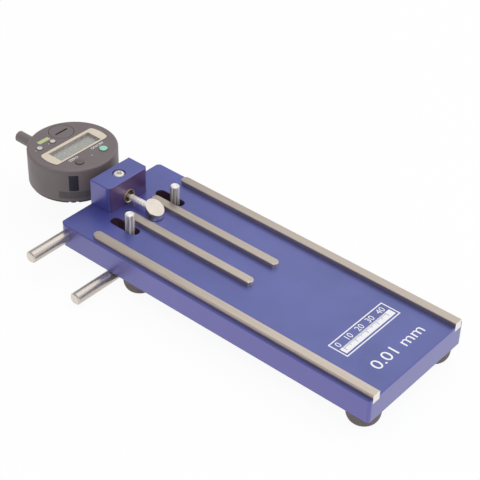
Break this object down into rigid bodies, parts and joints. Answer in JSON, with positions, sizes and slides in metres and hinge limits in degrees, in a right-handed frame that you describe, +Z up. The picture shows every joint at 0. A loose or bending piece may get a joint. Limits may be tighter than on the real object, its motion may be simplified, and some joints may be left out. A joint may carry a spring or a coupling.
{
  "type": "digital flange width gauge",
  "caption": "Bench gauge with a railed base plate, sprung datum pins squeezed by rods, and a digital indicator whose slanted probe measures the width of a can flange",
  "frame": {"origin": "middle of the gauge's box, on the surface that the feet stand on", "axes": "+Z up, +Y from the user towards the indicator, +X to the user's right, squeeze rods on -X"},
  "size_m": [0.1194, 0.3264, 0.0472],
  "materials": {
    "blue_anodised": "blue anodised, fine bead-blasted satin",
    "rail_steel": "ground flat, satin",
    "polished_steel": "turned and polished",
    "stem_steel": "turned, satin",
    "screw_steel": "zinc plated",
    "carriage_metal": "milled, plain",
    "spring_steel": "drawn wire",
    "bush_brass": "turned bronze-brown",
    "foot_rubber": "moulded, matt",
    "connector_rubber": "conductive strip",
    "case_plastic": "fine grained dark grey",
    "cap_plastic": "black, semi-matt",
    "bezel_plastic": "cream, smooth",
    "window_clear": "clear, flat",
    "lcd_panel": "grey-green display glass",
    "scale_glass": "etched scale strip",
    "board": "green solder mask",
    "switch_plastic": "moulded black",
    "key_green": "pale green",
    "key_dark": "dark grey",
    "key_light": "light grey"
  },
  "bodies": {
    "base": {"base_plate": "blue_anodised", "indicator_block": "blue_anodised", "front_guide_bracket": "blue_anodised", "rear_guide_bracket": "blue_anodised", "outer_rail_left": "rail_steel", "outer_rail_right": "rail_steel", "inner_rail_left": "rail_steel", "inner_rail_right": "rail_steel", "fixed_squeeze_rod": "polished_steel", "left_guide_shaft": "polished_steel", "right_guide_shaft": "polished_steel", "stem_clamp_screw": "polished_steel", "indicator_stem": "stem_steel", "rail_screws": "screw_steel", "foot_screws": "screw_steel", "block_screws": "screw_steel", "bracket_screws": "screw_steel", "back_cover_screws": "screw_steel", "reader_screws": "screw_steel", "left_carriage_spring": "spring_steel", "right_carriage_spring": "spring_steel", "spindle_spring": "spring_steel", "stem_guide_bush": "bush_brass", "rear_guide_bush": "bush_brass", "stem_clamp_pad": "bush_brass", "front_left_foot": "foot_rubber", "front_right_foot": "foot_rubber", "rear_left_foot": "foot_rubber", "rear_right_foot": "foot_rubber", "indicator_case": "case_plastic", "spindle_cap": "cap_plastic", "back_cover": "cap_plastic", "reader_board": "board"},
    "carriage": {"pin_carriage": "carriage_metal", "carriage_bushes": "bush_brass", "left_datum_pin": "polished_steel", "right_datum_pin": "polished_steel", "moving_squeeze_rod": "polished_steel"},
    "spindle": {"spindle": "polished_steel", "scale_carrier": "carriage_metal", "encoder_scale": "scale_glass", "anti_rotation_pin": "polished_steel", "probe_head": "polished_steel", "probe_shank": "polished_steel"},
    "display_head": {"display_head": "case_plastic", "head_ring": "spring_steel", "display_bezel": "bezel_plastic", "lcd_window": "window_clear", "lcd_panel": "lcd_panel", "lcd_connector": "connector_rubber", "circuit_board": "board", "board_screws": "screw_steel", "key_switches": "switch_plastic", "battery_cell": "polished_steel", "battery_contact": "bush_brass"},
    "battery_cover": {"battery_cover": "case_plastic"},
    "on_off_key": {"on_off_key": "key_green"},
    "zero_key": {"zero_key": "key_dark"},
    "left_small_key": {"left_small_key": "key_light"},
    "right_small_key": {"right_small_key": "key_light"}
  },
  "joints": [
    {"name": "carriage_slide", "type": "slide", "parent": "base", "child": "carriage", "axis": [0, 1, 0], "range_m": [0, 0.011], "stiffness_N_per_m": 300, "springref_m": -0.01, "deforming": ["left_carriage_spring", "right_carriage_spring"]},
    {"name": "spindle_slide", "type": "slide", "parent": "base", "child": "spindle", "axis": [0, 1, 0], "range_m": [0, 0.0127], "stiffness_N_per_m": 40, "springref_m": -0.02, "deforming": ["spindle_spring"]},
    {"name": "display_turn", "type": "hinge", "parent": "base", "child": "display_head", "pos_m": [0.01475, 0.1105, 0.0463], "axis": [0, 0, 1], "range_deg": [-165, 165]},
    {"name": "battery_cover_turn", "type": "hinge", "parent": "display_head", "child": "battery_cover", "pos_m": [0.02116, 0.12764, 0.0463], "axis": [0, 0, 1], "range_deg": [0, 60]},
    {"name": "on_off_key_press", "type": "slide", "parent": "display_head", "child": "on_off_key", "axis": [0, 0, -1], "range_m": [0, 0.0005], "stiffness_N_per_m": 400, "springref_m": -0.0005},
    {"name": "zero_key_press", "type": "slide", "parent": "display_head", "child": "zero_key", "axis": [0, 0, -1], "range_m": [0, 0.0005], "stiffness_N_per_m": 400, "springref_m": -0.0005},
    {"name": "left_small_key_press", "type": "slide", "parent": "display_head", "child": "left_small_key", "axis": [0, 0, -1], "range_m": [0, 0.0005], "stiffness_N_per_m": 400, "springref_m": -0.0005},
    {"name": "right_small_key_press", "type": "slide", "parent": "display_head", "child": "right_small_key", "axis": [0, 0, -1], "range_m": [0, 0.0005], "stiffness_N_per_m": 400, "springref_m": -0.0005}
  ]
}
